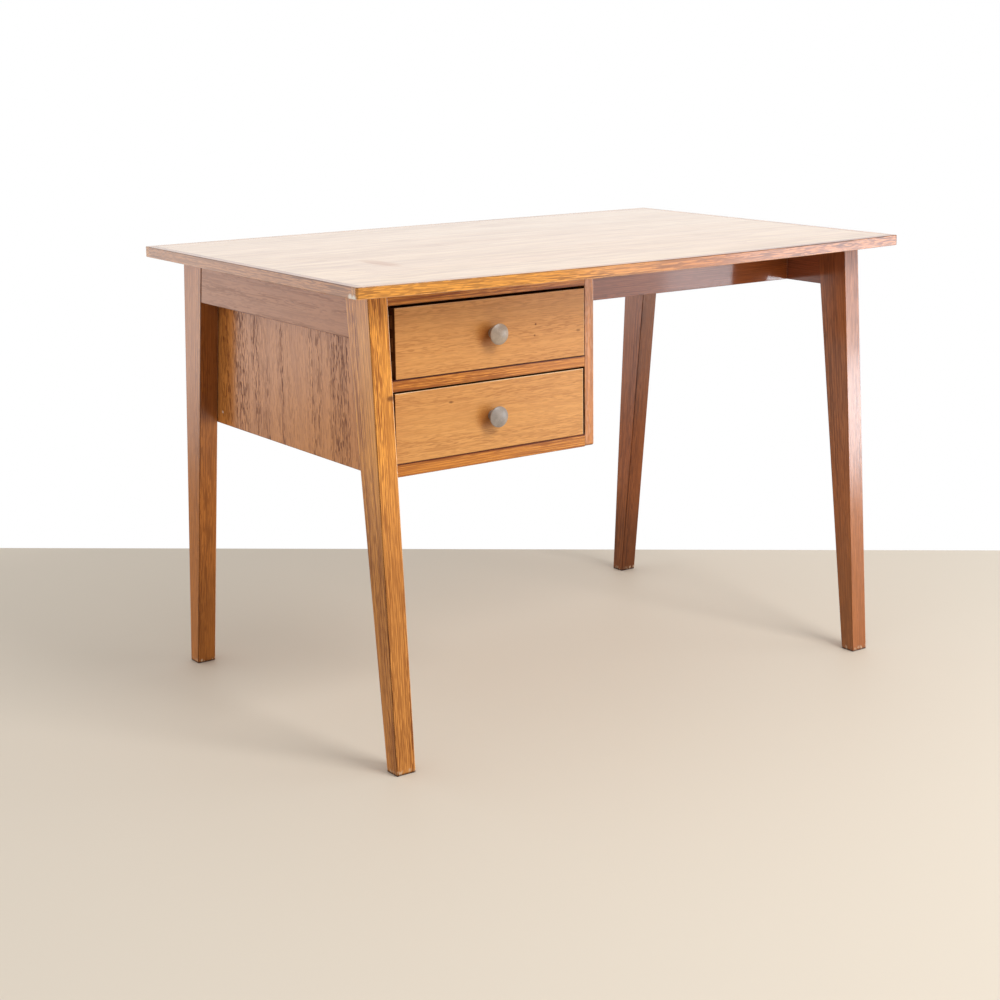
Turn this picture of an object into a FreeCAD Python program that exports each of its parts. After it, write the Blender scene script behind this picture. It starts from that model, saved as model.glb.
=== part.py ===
import FreeCAD, Part
import math
import os
import types

import Sketcher

# An oak writing desk on splayed legs, with a two-drawer box hung under its left end.
# Millimetres. The origin is on the floor, under the middle of the desk's box: +X runs to
# the right of someone who sits at the desk, +Y away from them, +Z up.

sizes = {
    # top: a veneered panel in solid lippings, bowed along its front edge
    "desk_height": 750,
    "top_length": 1100,
    "top_depth": 700,
    "top_bow": 26,
    "top_thickness": 18,
    "lipping_width": 14,
    "top_corner_radius": 4,
    "top_edge_radius": 1.2,
    # legs: reaches are measured from the middle of the under-frame to a leg's outer face
    "end_overhang": 47,
    "leg_thickness": 34,
    "leg_top_reach": 301,
    "leg_top_depth": 66,
    "leg_foot_reach": 349,
    "leg_foot_depth": 28.5,
    "leg_edge_radius": 1.5,
    # rails of the under-frame
    "rail_height": 72,
    "side_rail_thickness": 32,
    "long_rail_thickness": 22,
    "long_rail_reach": 158,
    "rail_edge_radius": 1,
    # drawer box: its front stands this far from the middle of the under-frame
    "box_front_reach": 285,
    "panel_thickness": 18,
    "panel_lipping": 6,
    "panel_edge_radius": 0.8,
    "box_corner_radius": 5,
    "box_rail_depth": 20,
    "top_rail_height": 24,
    "middle_rail_height": 18,
    "bottom_rail_height": 20,
    "bottom_board_thickness": 12,
    "panel_groove_depth": 6,
    "back_board_thickness": 8,
    "back_rebate_width": 9,
    # strips that carry and guide the drawers
    "strip_width": 20,
    "stop_height": 15,
    "stop_length": 16.7,
    # drawers
    "drawer_width": 355,
    "drawer_length": 545,
    "front_height": 108,
    "front_thickness": 18,
    "front_edge_radius": 1,
    "side_height": 104,
    "side_thickness": 12,
    "drawer_back_thickness": 10,
    "drawer_back_drop": 6,
    "drawer_back_inset": 8,
    "drawer_bottom_thickness": 5,
    "drawer_bottom_lift": 8,
    "drawer_groove_depth": 6,
    "drawer_housing_depth": 4,
    "dovetail_lap": 12,
    "tail_root_share": 0.5,
    "tail_flare_share": 0.16,
    # play round the drawers; at rest the upper one lies to the right, the lower to the left
    "drawer_side_play": 3.5,
    "drawer_near_gap": 0.5,
    "drawer_lift": 0.3,
    "upper_top_gap": 4.2,
    "lower_top_gap": 2.7,
    "stop_gap": 0.3,
    # knobs
    "knob_diameter": 33,
    "knob_depth": 22,
    "knob_base_diameter": 17,
    "knob_neck_diameter": 14,
    "knob_neck_length": 6,
    "knob_rim_height": 1.6,
    "knob_dome_height": 4,
    "knob_rim_radius": 0.7,
    # dowels and screws
    "dowel_diameter": 10,
    "dowel_length": 40,
    "dowel_edge": 18,
    "rail_dowel_length": 30,
    "panel_bite": 11,
    "small_dowel_diameter": 6,
    "small_dowel_setback": 11.5,
    "screw_diameter": 4,
    "screw_head_diameter": 8,
    "screw_head_height": 2.6,
    "screw_sink": 3.2,
    "panel_screw_edge": 10,
    "panel_screw_drop": 35,
    "panel_screw_spacing": 45,
    "screw_bite": 12,
    "fit_gap": 0.15,
    # cleats that hold the top to the rails
    "cleat_length": 40,
    "cleat_width": 24,
    "cleat_height": 20,
    "cleat_spacing": 200,
    # how far every cut runs past the face it enters
    "overrun": 5,
}

doc = FreeCAD.newDocument("WritingDesk")
sheet = doc.addObject("Spreadsheet::Sheet", "Sizes")
for row, (name, value) in enumerate(sizes.items(), start=1):
    sheet.set(f"A{row}", name)
    sheet.set(f"B{row}", str(value))
    sheet.setAlias(f"B{row}", name)
doc.recompute()


class Length:
    # A number together with the sheet formula that gives it, so that plain sums and
    # products of named sizes can both place a sketch's first guess and drive it.
    def __init__(self, value, formula):
        self.value = value
        self.formula = formula

    def __add__(self, other):
        other = length(other)
        return Length(self.value + other.value, f"({self.formula} + {other.formula})")

    def __sub__(self, other):
        other = length(other)
        return Length(self.value - other.value, f"({self.formula} - {other.formula})")

    def __mul__(self, other):
        other = length(other)
        return Length(self.value * other.value, f"({self.formula} * {other.formula})")

    def __truediv__(self, other):
        other = length(other)
        return Length(self.value / other.value, f"({self.formula} / {other.formula})")

    def __neg__(self):
        return Length(-self.value, f"(-{self.formula})")


def length(amount):
    if isinstance(amount, Length):
        return amount
    return Length(amount, str(amount))


desk = types.SimpleNamespace(**{name: Length(value, f"Sizes.{name}") for name, value in sizes.items()})
zero = length(0)
pieces = []
corners = {}
planes = {"x": "YZ_Plane", "y": "XZ_Plane", "z": "XY_Plane"}


# Places that several pieces share

underside = desk.desk_height - desk.top_thickness
half_length = desk.top_length / 2
half_depth = (desk.top_depth + desk.top_bow) / 2
frame_y = desk.top_bow / 2
bow_radius = (half_length * half_length + desk.top_bow * desk.top_bow) / (desk.top_bow * 2)
bow_centre = bow_radius - half_depth

leg_x = half_length - desk.end_overhang - desk.leg_thickness / 2
leg_inside = leg_x - desk.leg_thickness / 2
leg_top_inner = desk.leg_top_reach - desk.leg_top_depth
leg_foot_inner = desk.leg_foot_reach - desk.leg_foot_depth
rail_bottom = underside - desk.rail_height
side_rail_inside = leg_x - desk.side_rail_thickness / 2

box_left = -leg_inside
bay_left = box_left + desk.panel_thickness
bay_right = bay_left + desk.drawer_width + desk.drawer_side_play
box_right = bay_right + desk.panel_thickness
box_front = frame_y - desk.box_front_reach
box_rail_back = box_front + desk.box_rail_depth
drawer_rear = box_front + desk.drawer_length
stop_front = drawer_rear + desk.stop_gap
bay_back = stop_front + desk.stop_length
box_back = bay_back + desk.back_board_thickness
top_rail_bottom = underside - desk.top_rail_height
upper_bay_bottom = top_rail_bottom - desk.upper_top_gap - desk.front_height - desk.drawer_lift
middle_rail_bottom = upper_bay_bottom - desk.middle_rail_height
lower_bay_bottom = middle_rail_bottom - desk.lower_top_gap - desk.front_height - desk.drawer_lift
box_bottom = lower_bay_bottom - desk.bottom_rail_height


def leg_inner_at(height):
    # distance from the middle of the under-frame to a leg's slanted inner face
    return leg_top_inner + (leg_foot_inner - leg_top_inner) * (underside - height) / underside


# Document objects

def place(piece, x, y, z):
    for axis, amount in zip("xyz", (x, y, z)):
        piece.setExpression(f"Placement.Base.{axis}", length(amount).formula)


def new_body(label, x, y, z, turned=False):
    # turned stands the piece the other way round, half a turn about Z
    body = doc.addObject("PartDesign::Body", label)
    body.Label = label
    if turned:
        body.Placement.Rotation = FreeCAD.Rotation(FreeCAD.Vector(0, 0, 1), 180)
    place(body, x, y, z)
    corners[label] = (length(x), length(y), length(z), -1 if turned else 1)
    return body


def local(body, point):
    # a point of the desk in a body's own coordinates
    x, y, z, sign = corners[body.Label]
    return (point[0] - x) * sign, (point[1] - y) * sign, point[2] - z


def sketch_on(body, axis, offset):
    # a sketch square to an axis of the body, at an offset along it
    sketch = body.newObject("Sketcher::SketchObject", f"{body.Label}_sketch")
    plane = next(item for item in body.Origin.OriginFeatures if item.Role == planes[axis])
    sketch.AttachmentSupport = [(plane, "")]
    sketch.MapMode = "FlatFace"
    # the XZ plane looks towards -Y
    along = -length(offset) if axis == "y" else length(offset)
    sketch.setExpression("AttachmentOffset.Base.z", along.formula)
    return sketch


def drive(sketch, kind, amount, *elements):
    index = sketch.addConstraint(Sketcher.Constraint(kind, *elements, amount.value))
    sketch.setExpression(f"Constraints[{index}]", amount.formula)


def pin_point(sketch, element, end, x, y):
    # holds a point of the sketch at named distances from its origin
    drive(sketch, "DistanceX", length(x), -1, 1, element, end)
    drive(sketch, "DistanceY", length(y), -1, 1, element, end)


def spot(x, y):
    return FreeCAD.Vector(length(x).value, length(y).value, 0)


def add_polygon(sketch, points):
    first = sketch.GeometryCount
    count = len(points)
    for index, point in enumerate(points):
        following = points[(index + 1) % count]
        sketch.addGeometry(Part.LineSegment(spot(*point), spot(*following)), False)
    for index, point in enumerate(points):
        following = first + (index + 1) % count
        sketch.addConstraint(Sketcher.Constraint("Coincident", first + index, 2, following, 1))
        pin_point(sketch, first + index, 1, *point)


def add_rectangle(sketch, left, low, right, high):
    add_polygon(sketch, [(left, low), (right, low), (right, high), (left, high)])


def add_circle(sketch, x, y, diameter):
    circle = sketch.addGeometry(Part.Circle(spot(x, y), FreeCAD.Vector(0, 0, 1), diameter.value / 2), False)
    pin_point(sketch, circle, 3, x, y)
    drive(sketch, "Diameter", diameter, circle)


def add_bow(sketch, left, right, radius):
    # an arc about the top's bow centre, from its left end to its right end
    def angle(x):
        return -math.acos(length(x).value / radius.value)
    circle = Part.Circle(spot(zero, bow_centre), FreeCAD.Vector(0, 0, 1), radius.value)
    arc = sketch.addGeometry(Part.ArcOfCircle(circle, angle(left), angle(right)), False)
    pin_point(sketch, arc, 3, zero, bow_centre)
    drive(sketch, "Radius", radius, arc)
    return arc


def bow_end(x, radius):
    # where an arc about the bow centre reaches a given x, as a first guess
    rise = math.sqrt(radius.value ** 2 - length(x).value ** 2)
    return FreeCAD.Vector(length(x).value, bow_centre.value - rise, 0)


def feature(body, kind, sketch, amount, symmetric):
    made = body.newObject(f"PartDesign::{kind}", f"{body.Label}_{kind.lower()}")
    made.Profile = sketch
    if symmetric:
        made.SideType = "Symmetric"
    made.setExpression("Length", amount.formula)
    sketch.Visibility = False
    return made


def pad(body, sketch, amount, symmetric=False):
    return feature(body, "Pad", sketch, amount, symmetric)


def cut(body, sketch, amount):
    # cuts the same distance to both sides of the sketch
    return feature(body, "Pocket", sketch, amount, True)


def soften(body, radius, chosen):
    # rounds the edges for which chosen(edge) holds
    doc.recompute()
    base = body.Tip
    names = [f"Edge{index}" for index, edge in enumerate(base.Shape.Edges, start=1) if chosen(edge)]
    rounding = body.newObject("PartDesign::Fillet", f"{body.Label}_fillet")
    rounding.Base = (base, names)
    rounding.setExpression("Radius", radius.formula)


def runs_along(*axes):
    # true for straight edges parallel to one of the axes
    def test(edge):
        start, end = edge.Vertexes[0].Point, edge.Vertexes[-1].Point
        run = end - start
        run.normalize()
        return any(abs(abs(getattr(run, axis)) - 1) < 1e-6 for axis in axes)
    return test


def lies_at(plane_axis, at, *axes):
    # true for such edges in the plane where one axis has a given value
    def test(edge):
        ends = [getattr(vertex.Point, plane_axis) for vertex in edge.Vertexes]
        return runs_along(*axes)(edge) and all(abs(end - at.value) < 1e-4 for end in ends)
    return test


def board(label, corner, extent):
    # a plain board from its lowest corner
    body = new_body(label, *corner)
    outline = sketch_on(body, "z", zero)
    add_rectangle(outline, zero, zero, extent[0], extent[1])
    pad(body, outline, length(extent[2]))
    return body


def soft_board(label, corner, extent, radius, *axes):
    body = board(label, corner, extent)
    soften(body, radius, runs_along(*axes))
    return body


def across(axis, point):
    # the two coordinates that a sketch square to an axis takes
    return tuple(amount for name, amount in zip("xyz", point) if name != axis)


def depth_of(axis, point):
    return point["xyz".index(axis)]


def shifted(axis, point, distance):
    return tuple(amount + distance if name == axis else amount for name, amount in zip("xyz", point))


def drill(body, axis, centre, diameter, depth):
    # a round hole along an axis, centred on a point of the desk
    at = local(body, centre)
    sketch = sketch_on(body, axis, depth_of(axis, at))
    add_circle(sketch, *across(axis, at), diameter)
    cut(body, sketch, depth)


def mill(body, axis, low, high, depth):
    # a rectangular groove between two corners of the desk, as deep as the tool goes
    # to each side of the lower corner's plane
    start, end = local(body, low), local(body, high)
    sketch = sketch_on(body, axis, depth_of(axis, start))
    add_rectangle(sketch, *across(axis, start), *across(axis, end))
    cut(body, sketch, depth * 2)


turns = {
    "x": FreeCAD.Rotation(FreeCAD.Vector(0, 1, 0), 90),
    "y": FreeCAD.Rotation(FreeCAD.Vector(1, 0, 0), -90),
    "z": FreeCAD.Rotation(),
}


def rod(label, axis, start, diameter, reach):
    made = doc.addObject("Part::Cylinder", label)
    made.Placement.Rotation = turns[axis]
    place(made, *start)
    made.setExpression("Radius", (diameter / 2).formula)
    made.setExpression("Height", reach.formula)
    return made


def dowel(axis, centre, diameter, reach, joined):
    # a dowel centred on a point, with its hole in each of the pieces it joins
    for body in joined:
        drill(body, axis, centre, diameter + desk.fit_gap * 2, reach + desk.fit_gap * 2)
    return rod("dowel", axis, shifted(axis, centre, -reach / 2), diameter, reach)


def screw(axis, sign, surface, reach, joined):
    # A cheese-head screw that enters the first piece at a surface point and bites into
    # the second. The head lies in a counterbore, and reach is counted from the surface.
    ending = reach + desk.fit_gap
    middle = (ending - desk.overrun) / 2 * sign
    for body in joined:
        drill(body, axis, shifted(axis, surface, middle), desk.screw_diameter + desk.fit_gap * 2,
              ending + desk.overrun)
    drill(joined[0], axis, shifted(axis, surface, (desk.screw_sink - desk.overrun) / 2 * sign),
          desk.screw_head_diameter + desk.fit_gap * 2, desk.screw_sink + desk.overrun)
    seat = shifted(axis, surface, desk.screw_sink * sign)
    crown = shifted(axis, seat, -desk.screw_head_height * sign)
    tip = shifted(axis, surface, reach * sign)
    shank = rod("screw_shank", axis, crown if sign > 0 else tip, desk.screw_diameter,
                reach - desk.screw_sink + desk.screw_head_height)
    head = rod("screw_head", axis, crown if sign > 0 else seat, desk.screw_head_diameter,
               desk.screw_head_height)
    joined_screw = doc.addObject("Part::Fuse", "screw")
    joined_screw.Base = head
    joined_screw.Tool = shank
    return joined_screw


def group(label, members):
    made = doc.addObject("Part::Compound", label)
    made.Label = label
    made.Links = members
    pieces.append(made)


# The top

def bowed_piece(label, left, right, back, radius):
    # a piece of the top whose front edge follows the bow
    body = new_body(label, zero, zero, underside)
    sketch = sketch_on(body, "z", zero)
    bow = add_bow(sketch, left, right, radius)
    front_right, front_left = bow_end(right, radius), bow_end(left, radius)
    right_side = sketch.addGeometry(Part.LineSegment(front_right, spot(right, back)), False)
    back_side = sketch.addGeometry(Part.LineSegment(spot(right, back), spot(left, back)), False)
    left_side = sketch.addGeometry(Part.LineSegment(spot(left, back), front_left), False)
    sketch.addConstraint(Sketcher.Constraint("Coincident", bow, 2, right_side, 1))
    sketch.addConstraint(Sketcher.Constraint("Coincident", right_side, 2, back_side, 1))
    sketch.addConstraint(Sketcher.Constraint("Coincident", back_side, 2, left_side, 1))
    sketch.addConstraint(Sketcher.Constraint("Coincident", left_side, 2, bow, 1))
    sketch.addConstraint(Sketcher.Constraint("Vertical", right_side))
    sketch.addConstraint(Sketcher.Constraint("Vertical", left_side))
    pin_point(sketch, back_side, 1, right, back)
    pin_point(sketch, back_side, 2, left, back)
    pad(body, sketch, desk.top_thickness)
    return body


def make_front_lipping():
    body = new_body("front_lipping", zero, zero, underside)
    sketch = sketch_on(body, "z", zero)
    inner_radius = bow_radius - desk.lipping_width
    outer = add_bow(sketch, -half_length, half_length, bow_radius)
    inner = add_bow(sketch, -half_length, half_length, inner_radius)
    for end, x in ((2, half_length), (1, -half_length)):
        side = sketch.addGeometry(Part.LineSegment(bow_end(x, bow_radius), bow_end(x, inner_radius)), False)
        sketch.addConstraint(Sketcher.Constraint("Coincident", outer, end, side, 1))
        sketch.addConstraint(Sketcher.Constraint("Coincident", inner, end, side, 2))
        sketch.addConstraint(Sketcher.Constraint("Vertical", side))
        drive(sketch, "DistanceX", x, -1, 1, side, 1)
    pad(body, sketch, desk.top_thickness)
    corner_y = Length(bow_end(half_length, bow_radius).y, "")
    soften(body, desk.top_corner_radius, lies_at("y", corner_y, "z"))
    # the easing follows the bow and runs on round the corners
    soften(body, desk.top_edge_radius, lambda edge: edge.BoundBox.YMin < 1e-3 - half_depth.value)
    return body


lipping_back = half_depth - desk.lipping_width
panel_half = half_length - desk.lipping_width
panel_radius = bow_radius - desk.lipping_width
top_panel = bowed_piece("top_panel", -panel_half, panel_half, lipping_back, panel_radius)
front_lipping = make_front_lipping()
left_lipping = bowed_piece("left_lipping", -half_length, -panel_half, lipping_back, panel_radius)
soften(left_lipping, desk.top_edge_radius, lies_at("x", -half_length, "y"))
right_lipping = bowed_piece("right_lipping", panel_half, half_length, lipping_back, panel_radius)
soften(right_lipping, desk.top_edge_radius, lies_at("x", half_length, "y"))
back_lipping = board("back_lipping", (-half_length, lipping_back, underside),
                     (desk.top_length, desk.lipping_width, desk.top_thickness))
soften(back_lipping, desk.top_corner_radius, lies_at("y", desk.lipping_width, "z"))
soften(back_lipping, desk.top_edge_radius, lies_at("y", desk.lipping_width, "x"))


# Legs and rails

def make_leg(label, side, turned):
    # drawn as a front leg; a back leg is the same leg turned round
    body = new_body(label, leg_x * side, frame_y, zero, turned)
    outline = sketch_on(body, "x", zero)
    add_polygon(outline, [
        (-desk.leg_foot_reach, zero),
        (-leg_foot_inner, zero),
        (-leg_top_inner, underside),
        (-desk.leg_top_reach, underside),
    ])
    pad(body, outline, desk.leg_thickness, symmetric=True)
    soften(body, desk.leg_edge_radius, lambda edge: edge.BoundBox.ZMin < underside.value / 2)
    return body


def make_side_rail(label, side):
    # its ends follow the slant of the legs
    body = new_body(label, leg_x * side, frame_y, zero)
    outline = sketch_on(body, "x", zero)
    low_end = leg_inner_at(rail_bottom)
    add_polygon(outline, [
        (-low_end, rail_bottom),
        (low_end, rail_bottom),
        (leg_top_inner, underside),
        (-leg_top_inner, underside),
    ])
    pad(body, outline, desk.side_rail_thickness, symmetric=True)
    soften(body, desk.rail_edge_radius, lies_at("z", rail_bottom, "y"))
    return body


dowel_heights = (underside - desk.dowel_edge, rail_bottom + desk.dowel_edge)
legs = {}
side_rails = {}
side_dowels = []
for side_name, side in (("left", -1), ("right", 1)):
    rail = make_side_rail(f"{side_name}_rail", side)
    side_rails[side_name] = rail
    for end_name, end in (("front", -1), ("back", 1)):
        leg = make_leg(f"{end_name}_{side_name}_leg", side, end > 0)
        legs[f"{end_name}_{side_name}"] = leg
        for height in dowel_heights:
            joint = (leg_x * side, frame_y + leg_inner_at(height) * end, height)
            side_dowels.append(dowel("y", joint, desk.dowel_diameter, desk.dowel_length, (leg, rail)))
group("side_rail_dowels", side_dowels)


# Drawer box

def make_panel(label, left, front, groove_face, rebate_low, rebate_high):
    # a side of the box, grooved for the bottom and rebated for the back
    body = soft_board(label, (left, front, box_bottom),
                      (desk.panel_thickness, box_back - front, underside - box_bottom),
                      desk.panel_edge_radius, "y", "z")
    mill(body, "x", (groove_face, front - desk.overrun, lower_bay_bottom - desk.bottom_board_thickness),
         (groove_face, bay_back, lower_bay_bottom), desk.panel_groove_depth)
    mill(body, "z", (rebate_low, bay_back, box_bottom),
         (rebate_high, box_back + desk.overrun, box_bottom), underside - box_bottom + desk.overrun)
    return body


panel_front = box_front + desk.panel_lipping
box_left_panel = make_panel("box_left_panel", box_left, box_rail_back, bay_left,
                            bay_left - desk.back_rebate_width, bay_left + desk.overrun)
box_right_panel = make_panel("box_right_panel", bay_right, panel_front, bay_right,
                             bay_right - desk.overrun, bay_right + desk.back_rebate_width)
box_right_lipping = board("box_right_lipping", (bay_right, box_front, box_bottom),
                          (desk.panel_thickness, desk.panel_lipping, underside - box_bottom))
soften(box_right_lipping, desk.box_corner_radius,
       lambda edge: lies_at("y", zero, "x")(edge) and lies_at("z", zero, "x")(edge))
soften(box_right_lipping, desk.panel_edge_radius, lies_at("y", zero, "z"))

groove_reach = desk.panel_groove_depth - desk.fit_gap
box_bottom_board = board("box_bottom", (bay_left - groove_reach, box_rail_back,
                                        lower_bay_bottom - desk.bottom_board_thickness),
                         (bay_right - bay_left + groove_reach * 2, bay_back - box_rail_back,
                          desk.bottom_board_thickness))
rebate_reach = desk.back_rebate_width - desk.fit_gap
box_back_board = soft_board("box_back", (bay_left - rebate_reach, bay_back, box_bottom),
                            (bay_right - bay_left + rebate_reach * 2, desk.back_board_thickness,
                             underside - box_bottom), desk.panel_edge_radius, "x")

box_rails = []
box_rail_dowels = []
for label, low, rail_height in (("box_top_rail", top_rail_bottom, desk.top_rail_height),
                                ("box_middle_rail", middle_rail_bottom, desk.middle_rail_height),
                                ("box_bottom_rail", box_bottom, desk.bottom_rail_height)):
    rail = board(label, (box_left, box_front, low),
                 (bay_right - box_left, desk.box_rail_depth, rail_height))
    soften(rail, desk.panel_edge_radius, lies_at("y", zero, "x"))
    box_rails.append(rail)
    for x, shift, other in ((box_left, zero, legs["front_left"]),
                            (bay_right, desk.panel_bite - desk.rail_dowel_length / 2, box_right_panel)):
        joint = (x + shift, box_front + desk.small_dowel_setback, low + rail_height / 2)
        box_rail_dowels.append(dowel("x", joint, desk.small_dowel_diameter, desk.rail_dowel_length,
                                     (rail, other)))
group("box_rail_dowels", box_rail_dowels)

# the box hangs from its runners' and kickers' screws and, at the left, from the legs
strip_reach = bay_back - box_rail_back
strip_shares = (0.15, 0.5, 0.85)
runner_screws = []
kicker_screws = []
strips = {}
for kind, low, strip_height in (("runner", middle_rail_bottom, desk.middle_rail_height),
                                ("kicker", top_rail_bottom, desk.top_rail_height)):
    for side_name, left, inner, sign, panel in (
            ("left", bay_left, bay_left + desk.strip_width, -1, box_left_panel),
            ("right", bay_right - desk.strip_width, bay_right - desk.strip_width, 1, box_right_panel)):
        strip = soft_board(f"{side_name}_{kind}", (left, box_rail_back, low),
                           (desk.strip_width, strip_reach, strip_height), desk.panel_edge_radius, "y")
        strips[f"{side_name}_{kind}"] = strip
        for share in strip_shares:
            along_strip = box_rail_back + strip_reach * share
            runner_screws.append(screw("x", sign, (inner, along_strip, low + strip_height / 2),
                                       desk.strip_width + desk.screw_bite, (strip, panel)))
            if kind == "kicker":
                beside = along_strip + desk.cleat_length
                kicker_screws.append(screw("z", 1, (left + desk.strip_width / 2, beside, low),
                                           strip_height + desk.screw_bite, (strip, top_panel)))
group("runner_screws", runner_screws)
group("kicker_screws", kicker_screws)

panel_screws = []
for leg_name, end in (("front_left", -1), ("back_left", 1)):
    for height in (underside - desk.panel_screw_drop,
                   underside - desk.panel_screw_drop - desk.panel_screw_spacing):
        entry = (bay_left, frame_y + (leg_inner_at(height) + desk.panel_screw_edge) * end, height)
        panel_screws.append(screw("x", -1, entry, desk.panel_thickness + desk.screw_bite,
                                  (box_left_panel, legs[leg_name])))
group("panel_screws", panel_screws)


# Long rails, from the box to the right rail, and the cleats under the top

long_dowels = []
cleats = []
cleat_top_screws = []
cleat_rail_screws = []
long_rail_length = side_rail_inside - box_right


def make_cleat(corner, extent, axis, sign, wall, rail):
    # a block screwed to a rail and, from below, to the top
    body = soft_board(f"cleat_{len(cleats)}", corner, extent, desk.panel_edge_radius, "z")
    middle = tuple(low + size / 2 for low, size in zip(corner, extent))
    offset = desk.cleat_length / 4
    sideways = "y" if axis == "x" else "x"
    entry = shifted(sideways, middle, offset)
    face = tuple(wall if name == axis else amount for name, amount in zip("xyz", entry))
    cleat_rail_screws.append(screw(axis, sign, face, desk.cleat_width + desk.screw_bite, (body, rail)))
    below = shifted(sideways, middle, -offset)
    foot = (below[0], below[1], corner[2])
    cleat_top_screws.append(screw("z", 1, foot, desk.cleat_height + desk.screw_bite, (body, top_panel)))
    cleats.append(body)


cleat_bottom = underside - desk.cleat_height
for label, end in (("knee_rail", -1), ("back_rail", 1)):
    outer = frame_y + desk.long_rail_reach * end
    front = outer if end < 0 else outer - desk.long_rail_thickness
    rail = board(label, (box_right, front, rail_bottom),
                 (long_rail_length, desk.long_rail_thickness, desk.rail_height))
    soften(rail, desk.rail_edge_radius, lies_at("z", zero, "x"))
    middle_y = front + desk.long_rail_thickness / 2
    for x, shift, other in ((box_right, desk.rail_dowel_length / 2 - desk.panel_bite, box_right_panel),
                            (side_rail_inside, zero, side_rails["right"])):
        for height in dowel_heights:
            long_dowels.append(dowel("x", (x + shift, middle_y, height), desk.dowel_diameter,
                                     desk.rail_dowel_length, (rail, other)))
    inner = outer - desk.long_rail_thickness * end
    cleat_y = inner if end < 0 else inner - desk.cleat_width
    wall = cleat_y + desk.cleat_width if end < 0 else cleat_y
    for spread in (-1, 1):
        cleat_x = box_right + long_rail_length / 2 + desk.cleat_spacing * spread / 2 - desk.cleat_length / 2
        make_cleat((cleat_x, cleat_y, cleat_bottom), (desk.cleat_length, desk.cleat_width, desk.cleat_height),
                   "y", end, wall, rail)
    pieces.append(rail)
for spread in (-1, 1):
    cleat_x = side_rail_inside - desk.cleat_width
    cleat_y = frame_y + desk.cleat_spacing * spread / 2 - desk.cleat_length / 2
    make_cleat((cleat_x, cleat_y, cleat_bottom), (desk.cleat_width, desk.cleat_length, desk.cleat_height),
               "x", 1, cleat_x, side_rails["right"])
group("long_rail_dowels", long_dowels)
group("top_cleats", cleats)
group("cleat_top_screws", cleat_top_screws)
group("cleat_rail_screws", cleat_rail_screws)


# Drawers

tail_count = 3
tail_pitch = desk.side_height / tail_count
tail_root = tail_pitch * desk.tail_root_share
tail_tip = tail_root + desk.dovetail_lap * desk.tail_flare_share * 2


def side_outline():
    # a drawer side from the back of the drawer front, with its dovetails ahead of it
    points = [
        (zero, zero),
        (desk.drawer_length - desk.front_thickness, zero),
        (desk.drawer_length - desk.front_thickness, desk.side_height),
        (zero, desk.side_height),
    ]
    for tail in reversed(range(tail_count)):
        middle = tail_pitch * tail + tail_pitch / 2
        points += [
            (zero, middle + tail_root / 2),
            (-desk.dovetail_lap, middle + tail_tip / 2),
            (-desk.dovetail_lap, middle - tail_tip / 2),
            (zero, middle - tail_root / 2),
        ]
    return points


def socket_outlines():
    # the dovetail sockets, wider than the tails by the fit all round
    for tail in range(tail_count):
        middle = tail_pitch * tail + tail_pitch / 2
        root = tail_root / 2 + desk.fit_gap
        tip = tail_tip / 2 + desk.fit_gap
        yield [
            (desk.overrun, middle - root),
            (desk.overrun, middle + root),
            (-desk.dovetail_lap - desk.fit_gap, middle + tip),
            (-desk.dovetail_lap - desk.fit_gap, middle - tip),
        ]


def make_knob(label, x, y, z):
    # turned, with a neck that flares to the rim and a domed face towards -Y
    body = new_body(label, x, y, z)
    sketch = sketch_on(body, "z", zero)
    rim = desk.knob_diameter / 2
    dome_foot = desk.knob_depth - desk.knob_dome_height
    dome_radius = (rim * rim + desk.knob_dome_height * desk.knob_dome_height) / (desk.knob_dome_height * 2)
    dome_centre = desk.knob_depth - dome_radius
    outline = [
        (zero, -desk.knob_depth),
        (zero, zero),
        (desk.knob_base_diameter / 2, zero),
        (desk.knob_neck_diameter / 2, -desk.knob_neck_length),
        (rim, -dome_foot + desk.knob_rim_height),
        (rim, -dome_foot),
    ]
    for start, end in zip(outline, outline[1:]):
        sketch.addGeometry(Part.LineSegment(spot(*start), spot(*end)), False)
    last = len(outline) - 2
    for index in range(last):
        sketch.addConstraint(Sketcher.Constraint("Coincident", index, 2, index + 1, 1))
    for index, point in enumerate(outline[:-1]):
        pin_point(sketch, index, 1, *point)
    pin_point(sketch, last, 2, *outline[-1])
    # the dome is an arc about a point on the knob's own axis
    circle = Part.Circle(spot(zero, -dome_centre), FreeCAD.Vector(0, 0, 1), dome_radius.value)
    foot_angle = math.atan2(dome_centre.value - dome_foot.value, rim.value)
    dome = sketch.addGeometry(Part.ArcOfCircle(circle, -math.pi / 2, foot_angle), False)
    sketch.addConstraint(Sketcher.Constraint("Coincident", dome, 1, 0, 1))
    sketch.addConstraint(Sketcher.Constraint("Coincident", dome, 2, last, 2))
    drive(sketch, "Radius", dome_radius, dome)
    turned = body.newObject("PartDesign::Revolution", f"{label}_revolution")
    turned.Profile = sketch
    turned.ReferenceAxis = (sketch, ["V_Axis"])
    turned.Angle = 360
    sketch.Visibility = False
    soften(body, desk.knob_rim_radius,
           lambda edge: abs(edge.BoundBox.XMax - rim.value) < 1e-3 and edge.BoundBox.YLength < 1e-3)
    return body


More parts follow.
